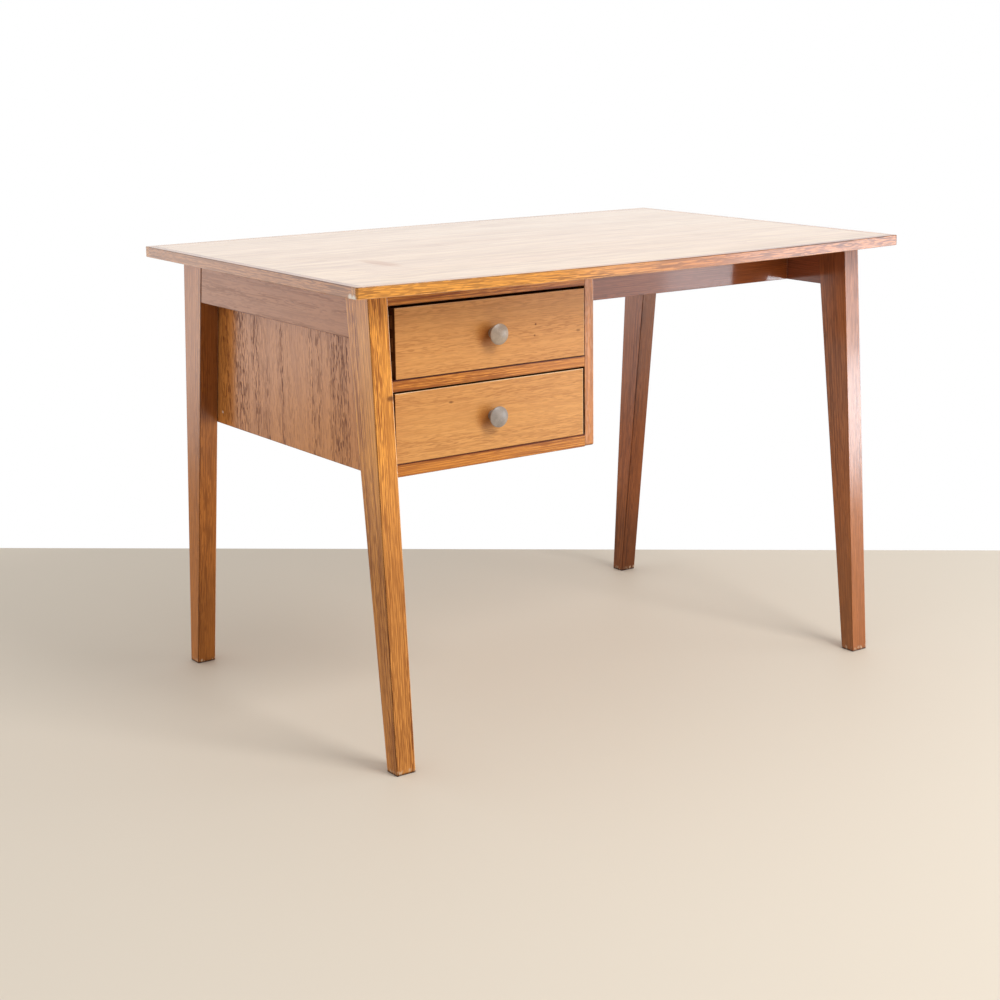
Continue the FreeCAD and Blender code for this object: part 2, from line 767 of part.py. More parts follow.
def make_drawer(name, left, bay_bottom):
    low = bay_bottom + desk.drawer_lift
    right = left + desk.drawer_width
    front_back = box_front + desk.front_thickness
    inside_left = left + desk.side_thickness
    inside_right = right - desk.side_thickness
    bottom_low = low + desk.drawer_bottom_lift
    bottom_high = bottom_low + desk.drawer_bottom_thickness
    back_rear = drawer_rear - desk.drawer_back_inset
    back_front = back_rear - desk.drawer_back_thickness

    front = board(f"{name}_drawer_front", (left, box_front, low),
                  (desk.drawer_width, desk.front_thickness, desk.front_height))
    soften(front, desk.front_edge_radius, lies_at("y", zero, "x", "z"))
    for end in (zero, desk.drawer_width):
        sockets = sketch_on(front, "x", end)
        for outline in socket_outlines():
            add_polygon(sockets, [(desk.front_thickness + y, z) for y, z in outline])
        cut(front, sockets, (desk.side_thickness + desk.fit_gap) * 2)
    groove_low = bottom_low - desk.fit_gap
    groove_high = bottom_high + desk.fit_gap
    mill(front, "y", (inside_left - desk.drawer_groove_depth, front_back, groove_low),
         (inside_right + desk.drawer_groove_depth, front_back, groove_high), desk.drawer_groove_depth)
    pieces.append(front)

    for side_name, corner, inner in (("left", left, inside_left), ("right", inside_right, inside_right)):
        side = new_body(f"{name}_drawer_{side_name}_side", corner, front_back, low)
        outline = sketch_on(side, "x", zero)
        add_polygon(outline, side_outline())
        pad(side, outline, desk.side_thickness)
        mill(side, "x", (inner, front_back - desk.dovetail_lap - desk.overrun, groove_low),
             (inner, drawer_rear + desk.overrun, groove_high), desk.drawer_groove_depth)
        mill(side, "x", (inner, back_front - desk.fit_gap, bottom_high),
             (inner, back_rear + desk.fit_gap, low + desk.side_height + desk.overrun),
             desk.drawer_housing_depth)
        pieces.append(side)

    bottom_reach = desk.drawer_groove_depth - desk.fit_gap
    pieces.append(board(f"{name}_drawer_bottom",
                        (inside_left - bottom_reach, front_back - bottom_reach, bottom_low),
                        (inside_right - inside_left + bottom_reach * 2,
                         drawer_rear - front_back + bottom_reach, desk.drawer_bottom_thickness)))
    housing_reach = desk.drawer_housing_depth - desk.fit_gap
    pieces.append(board(f"{name}_drawer_back", (inside_left - housing_reach, back_front, bottom_high),
                        (inside_right - inside_left + housing_reach * 2, desk.drawer_back_thickness,
                         low + desk.side_height - desk.drawer_back_drop - bottom_high)))

    centre = (left + desk.drawer_width / 2, low + desk.front_height / 2)
    knob = make_knob(f"{name}_knob", centre[0], box_front, centre[1])
    pieces.append(knob)
    fixing = screw("y", -1, (centre[0], front_back, centre[1]),
                   desk.front_thickness + desk.screw_bite, (front, knob))
    fixing.Label = f"{name}_knob_screw"
    pieces.append(fixing)

    stops = []
    for corner in (bay_left, bay_right - desk.strip_width):
        stop = doc.addObject("Part::Box", f"{name}_stop")
        place(stop, corner, stop_front, bay_bottom)
        stop.setExpression("Length", desk.strip_width.formula)
        stop.setExpression("Width", desk.stop_length.formula)
        stop.setExpression("Height", desk.stop_height.formula)
        stops.append(stop)
    group(f"{name}_stops", stops)


upper_left = bay_right - desk.drawer_near_gap - desk.drawer_width
lower_left = bay_left + desk.drawer_near_gap
make_drawer("upper", upper_left, upper_bay_bottom)
make_drawer("lower", lower_left, lower_bay_bottom)


# Check and write

pieces += [top_panel, front_lipping, left_lipping, right_lipping, back_lipping]
pieces += [*legs.values(), *side_rails.values(), *box_rails, *strips.values()]
pieces += [box_left_panel, box_right_panel, box_right_lipping, box_bottom_board, box_back_board]
doc.recompute()
for item in doc.Objects:
    if "Invalid" in item.State or "Error" in item.State:
        raise RuntimeError(f"{item.Label} failed: {item.State}")
for piece in pieces:
    if piece.Shape.isNull() or not piece.Shape.isValid():
        raise RuntimeError(f"{piece.Label} has no valid shape")
os.makedirs("parts", exist_ok=True)
for piece in pieces:
    piece.Shape.exportStep(f"parts/{piece.Label}.step")
print(len(pieces), "pieces written")
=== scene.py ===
import math

import bpy
import numpy as np
from mathutils import Matrix, Vector

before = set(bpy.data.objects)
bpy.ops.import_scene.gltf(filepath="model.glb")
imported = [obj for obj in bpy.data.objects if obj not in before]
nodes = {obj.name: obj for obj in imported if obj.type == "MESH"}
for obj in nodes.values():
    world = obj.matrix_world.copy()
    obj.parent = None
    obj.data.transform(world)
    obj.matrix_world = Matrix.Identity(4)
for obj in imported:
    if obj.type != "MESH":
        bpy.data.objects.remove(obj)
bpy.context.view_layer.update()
scene = bpy.context.scene
scene.view_settings.view_transform = "Standard"
print("frame loaded with", len(nodes), "pieces")


# camera: metres and radians; focal length and image centre are shares of the picture's width

cameraLook = {
    "place": (-1.9208, -2.6485, 1.1017),
    "yaw": 0.6332,
    "pitch": 0.2143,
    "roll": -0.0082,
    "focalShare": 1.8972,
    "centreShares": (0.5431, 0.4451),
    "sensor": 36.0,
    "clip": (0.05, 100),
}


def addCamera(look):
    data = bpy.data.cameras.new("deskCamera")
    data.sensor_width = look["sensor"]
    data.lens = look["focalShare"] * look["sensor"]
    centreX, centreY = look["centreShares"]
    data.shift_x = 0.5 - centreX
    data.shift_y = centreY - 0.5
    data.clip_start, data.clip_end = look["clip"]
    yaw, pitch, roll = look["yaw"], look["pitch"], look["roll"]
    ahead = Vector((math.sin(yaw) * math.cos(pitch), math.cos(yaw) * math.cos(pitch), -math.sin(pitch)))
    side = Vector((math.cos(yaw), -math.sin(yaw), 0))
    above = side.cross(ahead)
    right = side * math.cos(roll) + above * math.sin(roll)
    up = above * math.cos(roll) - side * math.sin(roll)
    turn = Matrix((right, up, -ahead)).transposed().to_4x4()
    camera = bpy.data.objects.new("deskCamera", data)
    camera.matrix_world = Matrix.Translation(look["place"]) @ turn
    scene.collection.objects.link(camera)
    scene.camera = camera


addCamera(cameraLook)
print("camera set")


# node helpers: at scale one a noise has features about as wide as feature, and values spread about middle

nodeHabits = {
    "feature": 0.6,
    "middle": 0.5,
    "spread": 0.28,
    "lineEdges": (0.05, 0.07),
    "lineDetail": 0.8,
    "lineRough": 0.5,
    "raySamples": 6,
    "arrisFlat": 0.985,
    "arrisRound": 0.86,
    "arrisTurns": (0.05, 0.4),
    "creviceOpen": 0.62,
    "creviceDeep": 0.2,
    "spotCore": 0.3,
    "ragScale": 400.0,
}


class Shading:
    # one material's node tree, with short calls for the nodes used here
    def __init__(self, name):
        self.material = bpy.data.materials.new(name)
        self.material.use_nodes = True
        self.tree = self.material.node_tree
        self.tree.nodes.clear()
        output = self.add("ShaderNodeOutputMaterial")
        self.shader = self.add("ShaderNodeBsdfPrincipled")
        self.link(self.shader.outputs["BSDF"], output.inputs["Surface"])

    def add(self, kind, **settings):
        made = self.tree.nodes.new(kind)
        for name, value in settings.items():
            setattr(made, name, value)
        return made

    def link(self, source, target):
        self.tree.links.new(source, target)

    def feed(self, socket, value):
        # a socket takes either a plain value or another node's output
        if isinstance(value, bpy.types.NodeSocket):
            self.link(value, socket)
        else:
            socket.default_value = value

    def sums(self, operation, first, second=0.0, third=0.0):
        made = self.add("ShaderNodeMath", operation=operation)
        for socket, value in zip(made.inputs, (first, second, third)):
            self.feed(socket, value)
        return made.outputs[0]

    def stretch(self, vector, shares):
        made = self.add("ShaderNodeVectorMath", operation="MULTIPLY")
        self.feed(made.inputs[0], vector)
        self.feed(made.inputs[1], shares)
        return made.outputs[0]

    def noise(self, vector, seed, scale=1.0, detail=3.0, rough=0.6):
        made = self.add("ShaderNodeTexNoise", noise_dimensions="4D")
        self.feed(made.inputs["Vector"], vector)
        made.inputs["W"].default_value = seed
        made.inputs["Scale"].default_value = scale
        made.inputs["Detail"].default_value = detail
        made.inputs["Roughness"].default_value = rough
        return made.outputs["Fac"]

    def span(self, value, low, high, start=0.0, end=1.0, smooth=False):
        made = self.add("ShaderNodeMapRange", interpolation_type="SMOOTHSTEP" if smooth else "LINEAR")
        self.feed(made.inputs["Value"], value)
        for name, amount in zip(("From Min", "From Max", "To Min", "To Max"), (low, high, start, end)):
            made.inputs[name].default_value = amount
        return made.outputs[0]

    def blend(self, share, first, second, mode="MIX"):
        made = self.add("ShaderNodeMix", data_type="RGBA", blend_type=mode)
        self.feed(made.inputs["Factor"], share)
        colours = [socket for socket in made.inputs if socket.type == "RGBA"]
        self.feed(colours[0], first)
        self.feed(colours[1], second)
        return next(socket for socket in made.outputs if socket.type == "RGBA")

    def bump(self, height, depth, strength):
        made = self.add("ShaderNodeBump")
        made.inputs["Strength"].default_value = strength
        made.inputs["Distance"].default_value = depth
        self.link(height, made.inputs["Height"])
        self.link(made.outputs["Normal"], self.shader.inputs["Normal"])

    def split(self, vector):
        made = self.add("ShaderNodeSeparateXYZ")
        self.link(vector, made.inputs[0])
        return made.outputs

    def dashes(self, grain, length, width, cover, seed):
        # broken lines along the grain, of about this length and width, over this share of the face
        feature = nodeHabits["feature"]
        scaled = self.stretch(grain, (feature / length, feature / width, feature / width))
        level = nodeHabits["middle"] + nodeHabits["spread"] * (0.5 - cover)
        below, above = nodeHabits["lineEdges"]
        lines = self.noise(scaled, seed, detail=nodeHabits["lineDetail"], rough=nodeHabits["lineRough"])
        return self.span(lines, level - below, level + above, smooth=True)

    def arrises(self, radius, towards):
        # lines along the arrises: those turned this way, and those turned away from it
        soft = self.add("ShaderNodeBevel", samples=nodeHabits["raySamples"])
        soft.inputs["Radius"].default_value = radius
        sizes = self.add("ShaderNodeVectorMath", operation="ABSOLUTE")
        self.link(soft.outputs["Normal"], sizes.inputs[0])
        x, y, z = self.split(sizes.outputs[0])
        most = self.sums("MAXIMUM", x, self.sums("MAXIMUM", y, z))
        edge = self.span(most, nodeHabits["arrisFlat"], nodeHabits["arrisRound"], smooth=True)
        dot = self.add("ShaderNodeVectorMath", operation="DOT_PRODUCT")
        self.link(soft.outputs["Normal"], dot.inputs[0])
        dot.inputs[1].default_value = towards
        turned = dot.outputs["Value"]
        start, full = nodeHabits["arrisTurns"]
        return (self.sums("MULTIPLY", edge, self.span(turned, start, full, smooth=True)),
                self.sums("MULTIPLY", edge, self.span(turned, -start, -full, smooth=True)))

    def occlusionShade(self, reach):
        # painted shade: one deep in the gaps and joints, nought in the open
        made = self.add("ShaderNodeAmbientOcclusion", samples=nodeHabits["raySamples"])
        made.inputs["Distance"].default_value = reach
        light = made.outputs["AO"]
        return self.span(light, nodeHabits["creviceOpen"], nodeHabits["creviceDeep"], smooth=True)

    def spot(self, place, centre, reach, rag, seed):
        # a ragged spot about a point: one inside, nought outside
        apart = self.add("ShaderNodeVectorMath", operation="SUBTRACT")
        self.link(place, apart.inputs[0])
        apart.inputs[1].default_value = centre
        size = self.add("ShaderNodeVectorMath", operation="LENGTH")
        self.link(self.stretch(apart.outputs[0], tuple(1 / part for part in reach)), size.inputs[0])
        ragged = self.sums("MULTIPLY", self.noise(place, seed, nodeHabits["ragScale"]), rag)
        outward = self.sums("ADD", ragged, size.outputs["Value"])
        return self.span(outward, 1 + rag / 2, nodeHabits["spotCore"] + rag / 2, smooth=True)


def colour(red, green, blue):
    # display values out of 255 to the linear colour that a shader takes
    shares = np.array((red, green, blue)) / 255
    linear = np.where(shares <= 0.04045, shares / 12.92, ((shares + 0.055) / 1.055) ** 2.4)
    return (*linear.tolist(), 1.0)


# stage: a pale floor with a straight far edge, a white surround, a softbox, and panels seen in the polish

daylight = (0.84, 0.92, 1.0)
stageLook = {
    "farEdge": ((-0.4963, 1.3194), (1.2130, -0.0437)),
    "reach": 14.0,
    "floorColour": colour(217, 206, 190),
    "floorRough": 0.6,
    "floorGloss": 0.25,
    "surroundLevel": 0.76,
    "frontLevel": 0.10,
    "frontToBack": (-0.45, 0.15),
    "lamps": {
        "windowGlow": {"place": (2.03, -1.81, 0.45), "facing": (0, 1, 0), "size": (2.35, 0.8), "power": 13.5,
                       "tint": daylight},
        "windowPane": {"place": (2.38, -1.78, 0.35), "facing": (0, 1, 0), "size": (1.65, 0.6), "power": 8.8,
                       "tint": daylight},
        "windowCore": {"place": (2.40, -1.75, 0.19), "facing": (0, 1, 0), "size": (1.2, 0.38), "power": 11.0,
                       "tint": daylight},
        "backPanel": {"place": (-1.9, 2.45, 0.5), "facing": (1.4, -1.8, 0), "size": (2.4, 0.95),
                      "power": 4.5},
        "softbox": {"place": (0.5, -2.7, 2.75), "facing": (-0.6, 2.5, -2.2), "size": (1.3, 1.3), "power": 68},
    },
}


def addFloor(look):
    left, right = (np.array(point) for point in look["farEdge"])
    along = (right - left) / np.linalg.norm(right - left)
    towards = np.array((along[1], -along[0]))
    middle = (left + right) / 2
    reach = look["reach"]
    corners = [middle - along * reach, middle - along * reach + towards * reach,
               middle + along * reach + towards * reach, middle + along * reach]
    mesh = bpy.data.meshes.new("floor")
    mesh.from_pydata([(*corner.tolist(), 0.0) for corner in corners], [], [(0, 1, 2, 3)])
    floor = bpy.data.objects.new("floor", mesh)
    scene.collection.objects.link(floor)
    make = Shading("paleFloor")
    make.shader.inputs["Base Color"].default_value = look["floorColour"]
    make.shader.inputs["Roughness"].default_value = look["floorRough"]
    make.shader.inputs["Specular IOR Level"].default_value = look["floorGloss"]
    mesh.materials.append(make.material)


def addSurround(look):
    world = bpy.data.worlds.new("studio")
    scene.world = world
    world.use_nodes = True
    tree = world.node_tree
    tree.nodes.clear()
    output = tree.nodes.new("ShaderNodeOutputWorld")
    path = tree.nodes.new("ShaderNodeLightPath")
    place = tree.nodes.new("ShaderNodeTexCoord")
    split = tree.nodes.new("ShaderNodeSeparateXYZ")
    tree.links.new(place.outputs["Generated"], split.inputs[0])
    # what gloss sees: white behind the desk and a dimmer level in front of it
    room = tree.nodes.new("ShaderNodeMapRange")
    room.interpolation_type = "SMOOTHSTEP"
    levels = (*look["frontToBack"], look["frontLevel"], 1.0)
    for name, amount in zip(("From Min", "From Max", "To Min", "To Max"), levels):
        room.inputs[name].default_value = amount
    tree.links.new(split.outputs["Y"], room.inputs["Value"])
    shiny = tree.nodes.new("ShaderNodeMath")
    shiny.operation = "MAXIMUM"
    tree.links.new(path.outputs["Is Glossy Ray"], shiny.inputs[0])
    tree.links.new(path.outputs["Is Transmission Ray"], shiny.inputs[1])
    lit = tree.nodes.new("ShaderNodeMix")
    lit.inputs[2].default_value = look["surroundLevel"]
    tree.links.new(shiny.outputs[0], lit.inputs[0])
    tree.links.new(room.outputs[0], lit.inputs[3])
    seen = tree.nodes.new("ShaderNodeMix")
    seen.inputs[3].default_value = 1.0
    tree.links.new(path.outputs["Is Camera Ray"], seen.inputs[0])
    tree.links.new(lit.outputs[0], seen.inputs[2])
    back = tree.nodes.new("ShaderNodeBackground")
    back.inputs["Color"].default_value = (1.0, 1.0, 1.0, 1.0)
    tree.links.new(seen.outputs[0], back.inputs["Strength"])
    tree.links.new(back.outputs[0], output.inputs["Surface"])


def addLamp(name, look):
    data = bpy.data.lights.new(name, "AREA")
    data.shape = "RECTANGLE"
    data.size, data.size_y = look["size"]
    data.energy = look["power"]
    data.color = look.get("tint", (1.0, 1.0, 1.0))
    lamp = bpy.data.objects.new(name, data)
    lamp.location = look["place"]
    lamp.rotation_euler = Vector(look["facing"]).to_track_quat("-Z", "Y").to_euler()
    lamp.visible_camera = False
    scene.collection.objects.link(lamp)


addFloor(stageLook)
addSurround(stageLook)
for name, lamp in stageLook["lamps"].items():
    addLamp(name, lamp)
print("stage and light set")


# wood: growth rings about a pith line, broken pore lines, broad colour drift, and painted highlight and shade
# on arrises and in gaps
# lines are (length, width, share of the face, strength); bands are (place across the grain, half width)

grainTurns = {"x": (0.0, 0.0, 0.0), "y": (0.0, 0.0, -math.pi / 2), "z": (0.0, math.pi / 2, 0.0)}

# habits that all the wood shares: scales along and across the grain, and the levels where each effect sets in
woodHabits = {
    "wanderScale": (0.9, 5.0, 5.0),
    "wanderRings": 6,
    "pithStray": 0.01,
    "crowdAlong": 1.6,
    "crowdLevels": (0.40, 0.62),
    "bandCore": 0.3,
    "earlyPower": 1.6,
    "rimPower": 4.0,
    "driftScale": (2.2, 14.0, 14.0),
    "driftLevels": (0.38, 0.68),
    "endLevels": (0.8, 0.95),
    "arrisNoiseScale": (9.0, 60.0, 60.0),
    "arrisNoiseLevels": (0.34, 0.60),
    "leastArrisLight": 0.5,
    "leastArrisShade": 0.7,
    "fleckLine": (0.006, 0.002, 0.3),
    "creviceShade": 0.85,
    "markRag": 0.5,
    "markPolish": 0.4,
    "poreRough": 0.3,
    "roughLevels": (0.3, 0.9),
    "poreLevels": (0.1, 0.9),
    "ringRelief": 0.2,
    "reliefDepth": 0.00022,
    "reliefStrength": 0.5,
}

# added to a piece's seed, so that its noises differ
seedSteps = {"line": 1.7, "nextLine": 2.4, "scuff": 3, "crowd": 6.6, "drift": 9.3, "arrisHighlight": 12.9,
             "fleck": 15.1, "mark": 20}

# feet: heights over the floor
footLook = {
    "scuffScale": (300.0, 300.0, 90.0),
    "scuffLevels": (0.50, 0.60),
    "scuffHeights": (0.010, 0.005),
    # a painted contact shadow along the very bottom
    "contactShadowHeights": (0.004, 0.002),
    "strength": 0.7,
    "bareWood": colour(206, 180, 148),
    "kickHeights": (0.28, 0.46),
}

solidOak = {
    "pale": colour(244, 168, 70),
    "deep": colour(204, 118, 41),
    "pore": colour(116, 46, 4),
    # near-black for dirt, and for painted shade on arrises, in gaps and along the very bottom of the feet
    "dirtAndShade": colour(44, 14, 8),
    "creviceReach": 0.02,
    "highlightAndFleck": colour(250, 206, 160),
    "ringWidth": 0.0034,
    "ringShare": 0.3,
    "ringLine": 0.5,
    "driftShare": 0.35,
    "lines": ((0.060, 0.0008, 0.40, 0.85), (0.014, 0.0007, 0.36, 0.70)),
    "crowdWidth": 0.014,
    "crowdFloor": 0.55,
    "bands": (),
    "pith": (0.035, 0.05),
    "roughness": (0.30, 0.42),
    "gloss": 0.1,
    "coat": 1.0,
    "coatRough": 0.2,
    "openPores": 0.75,
    "dullFeet": 0.25,
    # the arrises carry a painted highlight where they turn towards litSide and painted shade where they turn
    # away
    "arrisReach": 0.0035,
    "litSide": (0.8, -0.1, 0.6),
    "arrisHighlight": 0.9,
    "paintedShade": 0.95,
    "fleck": 0.0,
    "endShare": 0.0,
}

# woods of the single pieces, toned as the photo shows them, some of its shade included
midOak = dict(solidOak, pale=colour(205, 129, 58), deep=colour(166, 94, 38), pore=colour(110, 56, 18),
              ringLine=0.3, lines=((0.05, 0.0011, 0.36, 0.6), (0.012, 0.0010, 0.32, 0.5)),
              highlightAndFleck=colour(236, 190, 156))
redOak = dict(midOak, pale=colour(172, 103, 54), deep=colour(138, 76, 35), pore=colour(84, 40, 18),
              highlightAndFleck=colour(226, 180, 150), coatRough=0.13, paintedShade=0.6, arrisHighlight=0.6, dullFeet=0.7)
darkOak = dict(redOak, pale=colour(178, 102, 48), deep=colour(144, 78, 31), paintedShade=0.95, dullFeet=0.35)
shadeOak = dict(redOak, pale=colour(138, 76, 50), deep=colour(108, 56, 36))
kneeOak = dict(redOak, pale=colour(160, 88, 42), deep=colour(126, 64, 26), coatRough=0.08)
sideVeneer = dict(solidOak, pale=colour(214, 140, 68), deep=colour(182, 110, 50), pore=colour(116, 62, 26),
                  lines=((0.007, 0.0012, 0.38, 0.95), (0.030, 0.0011, 0.38, 0.6)), crowdFloor=0.34,
                  ringWidth=0.016, ringShare=0.3, ringLine=0.15, pith=(0.16, 0.02), coat=0.9, openPores=0.25,
                  arrisHighlight=0.6, paintedShade=0.6)
railVeneer = dict(sideVeneer, pale=colour(184, 114, 52), deep=colour(154, 90, 40), ringShare=0.15,
                  ringLine=0.0, lines=((0.05, 0.0012, 0.4, 0.4), (0.010, 0.0013, 0.24, 0.45)))
topVeneer = dict(solidOak, pale=colour(245, 195, 131), deep=colour(210, 150, 96), pore=colour(142, 94, 56),
                 lines=((0.12, 0.0045, 0.4, 0.45), (0.04, 0.0018, 0.35, 0.6)), ringWidth=0.010, ringShare=0.4,
                 ringLine=0.0, pith=(0.2, 0.06), gloss=0.5, coatRough=0.12, openPores=0.75, arrisHighlight=0.2,
                 paintedShade=0.2)
topEdge = dict(solidOak, pale=colour(234, 160, 64), deep=colour(196, 117, 40), pore=colour(92, 42, 10),
               ringLine=0.4, lines=((0.04, 0.0012, 0.38, 0.84), (0.012, 0.0010, 0.34, 0.68)), gloss=0.3,
               coatRough=0.16, openPores=0.8, litSide=(0.0, 0.3, -1.0), arrisHighlight=0.3, paintedShade=0.8)
sideEdge = dict(topEdge, pale=colour(206, 134, 62), deep=colour(170, 100, 42))
cleanEdge = dict(topEdge, paintedShade=0.15)
frontWood = dict(solidOak, pale=colour(210, 150, 83), deep=colour(186, 121, 60), pore=colour(148, 88, 42),
                 lines=((0.010, 0.0008, 0.34, 0.50), (0.030, 0.0009, 0.32, 0.35)), ringWidth=0.014,
                 ringShare=0.3, ringLine=0.1, driftShare=0.3, pith=(0.05, 0.12), roughness=(0.34, 0.46),
                 gloss=0.2, coat=0.3, arrisReach=0.002, highlightAndFleck=colour(252, 226, 186), endShare=0.95)
drawerWood = dict(solidOak, pale=colour(214, 176, 126), deep=colour(186, 142, 92), pore=colour(150, 106, 64),
                  lines=((0.04, 0.0025, 0.35, 0.35), (0.015, 0.0016, 0.3, 0.25)), ringLine=0.1,
                  roughness=(0.5, 0.62), gloss=0.3, coat=0.0, arrisHighlight=0.2, paintedShade=0.2, creviceReach=0.04)
innerWood = dict(drawerWood, pale=colour(200, 152, 98), deep=colour(166, 116, 68), pore=colour(122, 78, 42))
plywood = dict(drawerWood, pale=colour(210, 170, 120), deep=colour(190, 146, 96), ringWidth=0.016,
               pith=(0.3, 0.1))


def grainRings(make, grain, look, seed):
    # how far through its year's ring each point lies: distance from the pith, wandering along the grain
    rng = np.random.default_rng(seed)
    wander = make.noise(make.stretch(grain, woodHabits["wanderScale"]), seed, rough=0.55)
    _, y, z = make.split(grain)
    stray = woodHabits["pithStray"]
    pithY, pithZ = (part * rng.choice((-1, 1)) + rng.uniform(-stray, stray) for part in look["pith"])
    acrossY = make.sums("SUBTRACT", y, pithY)
    acrossZ = make.sums("SUBTRACT", z, pithZ)
    squares = make.sums("MULTIPLY_ADD", acrossY, acrossY, make.sums("MULTIPLY", acrossZ, acrossZ))
    distance = make.sums("SQRT", squares)
    swayed = make.sums("MULTIPLY_ADD", wander, look["ringWidth"] * woodHabits["wanderRings"], distance)
    return make.sums("FRACT", make.sums("DIVIDE", swayed, look["ringWidth"]))


def poreLines(make, grain, look, seed):
    # broken lines, crowded into some bands across the grain
    crossing = nodeHabits["feature"] / look["crowdWidth"]
    scaled = make.stretch(grain, (woodHabits["crowdAlong"], crossing, crossing))
    crowd = make.noise(scaled, seed + seedSteps["crowd"], detail=2.0, rough=0.5)
    share = make.span(crowd, *woodHabits["crowdLevels"], look["crowdFloor"], 1.0, smooth=True)
    _, y, _ = make.split(grain)
    for centre, half in look["bands"]:
        apart = make.sums("ABSOLUTE", make.sums("SUBTRACT", y, centre))
        band = make.span(apart, half, half * woodHabits["bandCore"], smooth=True)
        share = make.sums("MAXIMUM", share, band)
    pores = None
    for step, (length, width, cover, strength) in enumerate(look["lines"]):
        lineSeed = seed + seedSteps["line"] + step * seedSteps["nextLine"]
        line = make.dashes(grain, length, width, cover, lineSeed)
        line = make.sums("MULTIPLY", line, strength)
        pores = line if pores is None else make.sums("MAXIMUM", pores, line)
    return make.sums("MULTIPLY", pores, share)


# painted shade and tone: the colour multiplied by tints that follow a place along an axis or how far a face
# turns
def shadeAndToneWood(make, wood, place, facing, tints):
    for reaches, tint in tints:
        share = 1.0
        for part, start, full in reaches:
            # a capital letter reads the place along that axis, a small one how far the face turns that way
            source = place if part.isupper() else facing
            along = make.split(source)["XYZ".index(part.upper())]
            share = make.sums("MULTIPLY", make.span(along, start, full, smooth=True), share)
        wood = make.blend(share, wood, tint, "MULTIPLY")
    return wood


def arrisLightAndShade(make, wood, grain, look, seed):
    # painted highlight along the arrises turned to the lit side, and painted shade along those turned away
    # from it
    arrisNoise = make.noise(make.stretch(grain, woodHabits["arrisNoiseScale"]), seed + seedSteps["arrisHighlight"])
    light, dark = make.arrises(look["arrisReach"], look["litSide"])
    low, high = woodHabits["arrisNoiseLevels"]
    lightened = make.span(arrisNoise, low, high, look["arrisHighlight"] * woodHabits["leastArrisLight"], look["arrisHighlight"], smooth=True)
    arrisShadeShare = make.span(arrisNoise, high, low, look["paintedShade"] * woodHabits["leastArrisShade"], look["paintedShade"], smooth=True)
    shadeAndMarks = make.sums("MULTIPLY", dark, arrisShadeShare)
    wood = make.blend(make.sums("MULTIPLY", light, lightened), wood, look["highlightAndFleck"])
    return make.blend(shadeAndMarks, wood, look["dirtAndShade"]), shadeAndMarks


def scuffedFoot(make, wood, place, look, seed):
    # bare wood scuffed just over the floor, and a painted contact shadow along the very bottom
    _, _, height = make.split(place)
    strength = footLook["strength"]
    scuff = make.noise(make.stretch(place, footLook["scuffScale"]), seed + seedSteps["scuff"])
    low = make.span(height, *footLook["scuffHeights"], 0.0, strength, smooth=True)
    bare = make.sums("MULTIPLY", low, make.span(scuff, *footLook["scuffLevels"], smooth=True))
    wood = make.blend(bare, wood, footLook["bareWood"])
    contactShadow = make.span(height, *footLook["contactShadowHeights"], 0.0, strength, smooth=True)
    return make.blend(contactShadow, wood, look["dirtAndShade"])


def brokenPolish(make, place, pores, shadeAndMarks, look, feet):
    # open pores, old marks and the painted shade along the arrises break the polish, and shoes have dulled it
    # low down
    polish = make.span(pores, *woodHabits["poreLevels"], look["coat"], look["coat"] * look["openPores"])
    polish = make.sums("MULTIPLY", polish, make.span(shadeAndMarks, 0.0, 1.0, 1.0, woodHabits["markPolish"]))
    if feet:
        _, _, height = make.split(place)
        kicked = make.span(height, *footLook["kickHeights"], look["dullFeet"], 1.0, smooth=True)
        polish = make.sums("MULTIPLY", polish, kicked)
    return polish


